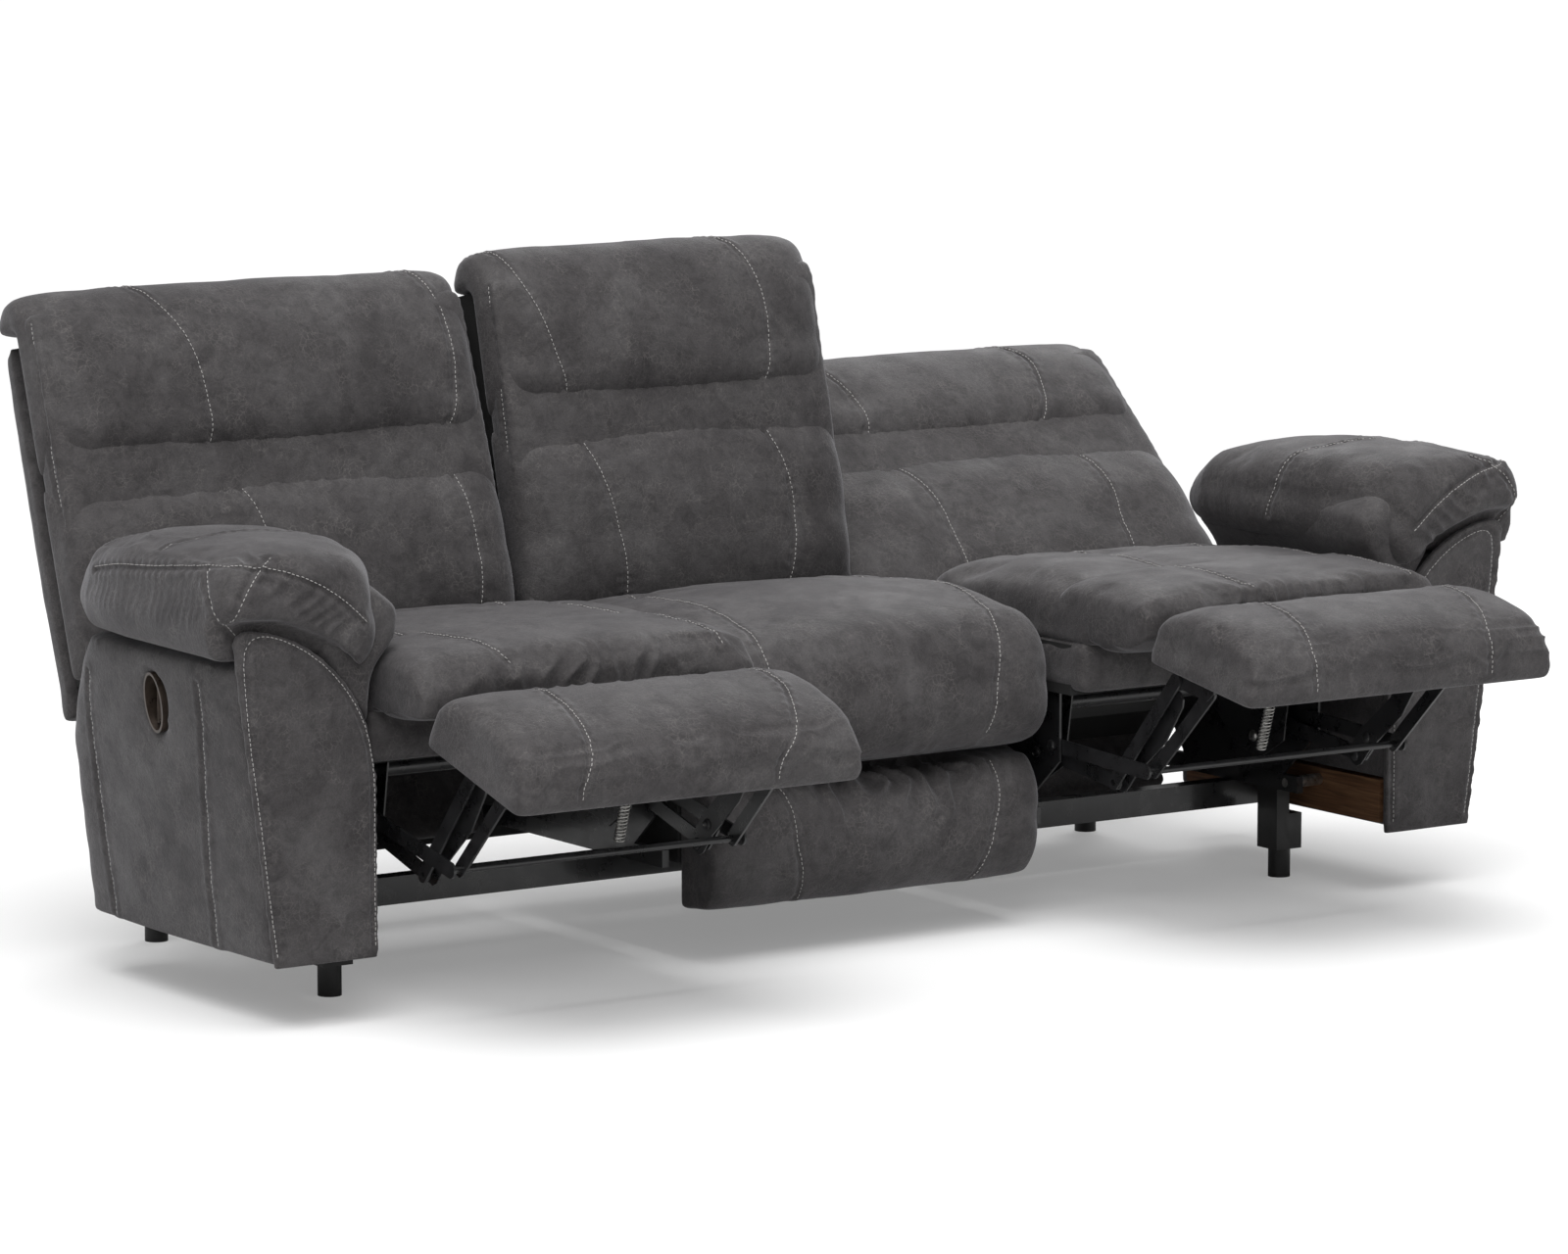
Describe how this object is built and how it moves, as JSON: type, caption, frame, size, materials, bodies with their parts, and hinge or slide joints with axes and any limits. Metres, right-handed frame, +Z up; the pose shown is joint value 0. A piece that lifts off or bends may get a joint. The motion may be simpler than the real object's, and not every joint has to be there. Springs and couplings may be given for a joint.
{
  "type": "reclining sofa",
  "caption": "Reclining sofa with a fixed middle seat; each outer seat has a folding footrest linkage, a sliding seat carriage and a hinged back, with a pull lever in each arm.",
  "frame": {"origin": "bottom centre of the bounding box, on the floor", "axes": "+X to the right as seen from the front, +Y to the rear, +Z up"},
  "size_m": [2.287, 1.4518, 0.9833],
  "materials": {
    "suede": "mottled charcoal suede-look upholstery over foam",
    "plywood": "bare plywood and timber",
    "black_steel": "gloss black enamel",
    "black_plastic": "black moulded",
    "zinc_steel": "zinc plated",
    "bronze_plastic": "dark bronze",
    "bronze_metal": "dark bronze"
  },
  "bodies": {
    "base": {"front_cross_rail": "black_steel", "rear_cross_rail": "black_steel", "slide_rails": "black_steel", "foot_blocks": "black_plastic", "feet": "black_plastic", "arm_frame_left": "plywood", "arm_frame_right": "plywood", "arm_cover_left": "suede", "arm_cover_right": "suede", "arm_front_panel_left": "suede", "arm_front_panel_right": "suede", "arm_pad_left": "suede", "arm_pad_right": "suede", "arm_bolts": "zinc_steel", "handle_cups": "bronze_plastic", "middle_seat_box": "plywood", "middle_seat_cushion": "suede", "middle_front_panel": "suede", "back_frame_middle": "plywood", "head_pillow_middle": "suede", "lumbar_pillow_middle": "suede", "outer_back_middle": "suede"},
    "left_carriage": {"side_plates_left": "black_steel", "cross_tubes_left": "black_steel", "seat_box_left": "plywood", "seat_cushion_left": "suede", "chaise_flap_left": "suede"},
    "left_back": {"back_frame_left": "plywood", "head_pillow_left": "suede", "lumbar_pillow_left": "suede", "outer_back_left": "suede"},
    "left_lift_links": {"lift_links_left": "black_steel", "lift_cross_rod_left": "black_steel"},
    "left_board_links": {"board_links_left": "black_steel"},
    "left_footrest": {"footrest_board_left": "plywood", "footrest_brackets_left": "black_steel", "footrest_pad_left": "suede", "tension_spring_left": "zinc_steel"},
    "left_rear_control": {"rear_control_links_left": "black_steel"},
    "left_front_control": {"front_control_links_left": "black_steel"},
    "left_lever": {"release_lever_left": "bronze_metal"},
    "right_carriage": {"side_plates_right": "black_steel", "cross_tubes_right": "black_steel", "seat_box_right": "plywood", "seat_cushion_right": "suede", "chaise_flap_right": "suede"},
    "right_back": {"back_frame_right": "plywood", "head_pillow_right": "suede", "lumbar_pillow_right": "suede", "outer_back_right": "suede"},
    "right_lift_links": {"lift_links_right": "black_steel", "lift_cross_rod_right": "black_steel"},
    "right_board_links": {"board_links_right": "black_steel"},
    "right_footrest": {"footrest_board_right": "plywood", "footrest_brackets_right": "black_steel", "footrest_pad_right": "suede", "tension_spring_right": "zinc_steel"},
    "right_rear_control": {"rear_control_links_right": "black_steel"},
    "right_front_control": {"front_control_links_right": "black_steel"},
    "right_lever": {"release_lever_right": "bronze_metal"}
  },
  "joints": [
    {"name": "left_seat_slide", "type": "slide", "parent": "base", "child": "left_carriage", "axis": [0, -1, 0], "range_m": [-0.00663, 0.03839]},
    {"name": "left_back_hinge", "type": "hinge", "parent": "left_carriage", "child": "left_back", "pos_m": [-0.576, 0.17398, 0.33], "axis": [-1, 0, 0], "range_deg": [-5, 29]},
    {"name": "left_footrest_lift", "type": "hinge", "parent": "left_carriage", "child": "left_lift_links", "pos_m": [-0.576, -0.18262, 0.262], "axis": [1, 0, 0], "range_deg": [-9.46, 107.74], "deforming": ["chaise_flap_left"]},
    {"name": "left_knee", "type": "hinge", "parent": "left_lift_links", "child": "left_board_links", "pos_m": [-0.576, -0.34386, 0.22696], "axis": [1, 0, 0], "range_deg": [-118.75, 10.45]},
    {"name": "left_board_tilt", "type": "hinge", "parent": "left_board_links", "child": "left_footrest", "pos_m": [-0.576, -0.46234, 0.36774], "axis": [1, 0, 0], "range_deg": [-7.48, 85.01], "deforming": ["tension_spring_left"]},
    {"name": "left_rear_control", "type": "hinge", "parent": "left_carriage", "child": "left_rear_control", "pos_m": [-0.576, -0.14632, 0.2472], "axis": [1, 0, 0], "range_deg": [-8.44, 95.9]},
    {"name": "left_front_control", "type": "hinge", "parent": "left_lift_links", "child": "left_front_control", "pos_m": [-0.576, -0.39955, 0.21486], "axis": [1, 0, 0], "range_deg": [-112.82, 9.92]},
    {"name": "left_lever_hinge", "type": "hinge", "parent": "base", "child": "left_lever", "pos_m": [-1.07886, -0.067, 0.43], "axis": [0, 0, -1], "range_deg": [0, 35], "stiffness_Nm_per_rad": 0.3},
    {"name": "right_seat_slide", "type": "slide", "parent": "base", "child": "right_carriage", "axis": [0, -1, 0], "range_m": [-0.04501, 0.00001]},
    {"name": "right_back_hinge", "type": "hinge", "parent": "right_carriage", "child": "right_back", "pos_m": [0.576, 0.1356, 0.33], "axis": [-1, 0, 0], "range_deg": [-34, 0]},
    {"name": "right_footrest_lift", "type": "hinge", "parent": "right_carriage", "child": "right_lift_links", "pos_m": [0.576, -0.221, 0.262], "axis": [1, 0, 0], "range_deg": [0, 117.2], "deforming": ["chaise_flap_right"]},
    {"name": "right_knee", "type": "hinge", "parent": "right_lift_links", "child": "right_board_links", "pos_m": [0.576, -0.3858, 0.25394], "axis": [1, 0, 0], "range_deg": [-129.17, 0.02]},
    {"name": "right_board_tilt", "type": "hinge", "parent": "right_board_links", "child": "right_footrest", "pos_m": [0.576, -0.50664, 0.3927], "axis": [1, 0, 0], "range_deg": [-0.02, 92.47], "deforming": ["tension_spring_right"]},
    {"name": "right_rear_control", "type": "hinge", "parent": "right_carriage", "child": "right_rear_control", "pos_m": [0.576, -0.1847, 0.2472], "axis": [1, 0, 0], "range_deg": [-0.02, 104.32]},
    {"name": "right_front_control", "type": "hinge", "parent": "right_lift_links", "child": "right_front_control", "pos_m": [0.576, -0.44273, 0.25116], "axis": [1, 0, 0], "range_deg": [-122.72, 0.02]},
    {"name": "right_lever_hinge", "type": "hinge", "parent": "base", "child": "right_lever", "pos_m": [1.07886, -0.067, 0.43], "axis": [0, 0, 1], "range_deg": [0, 35], "stiffness_Nm_per_rad": 0.3}
  ],
  "couplings": [
    {"joint": "left_seat_slide", "follows": "left_back_hinge", "m_per_rad": 0.075833},
    {"joint": "left_knee", "follows": "left_footrest_lift", "ratio": -1.102},
    {"joint": "left_board_tilt", "follows": "left_footrest_lift", "ratio": 0.78882},
    {"joint": "left_rear_control", "follows": "left_footrest_lift", "ratio": 0.88993},
    {"joint": "left_front_control", "follows": "left_footrest_lift", "ratio": -1.0469},
    {"joint": "right_seat_slide", "follows": "right_back_hinge", "m_per_rad": 0.075833},
    {"joint": "right_knee", "follows": "right_footrest_lift", "ratio": -1.102},
    {"joint": "right_board_tilt", "follows": "right_footrest_lift", "ratio": 0.78882},
    {"joint": "right_rear_control", "follows": "right_footrest_lift", "ratio": 0.88993},
    {"joint": "right_front_control", "follows": "right_footrest_lift", "ratio": -1.0469}
  ]
}
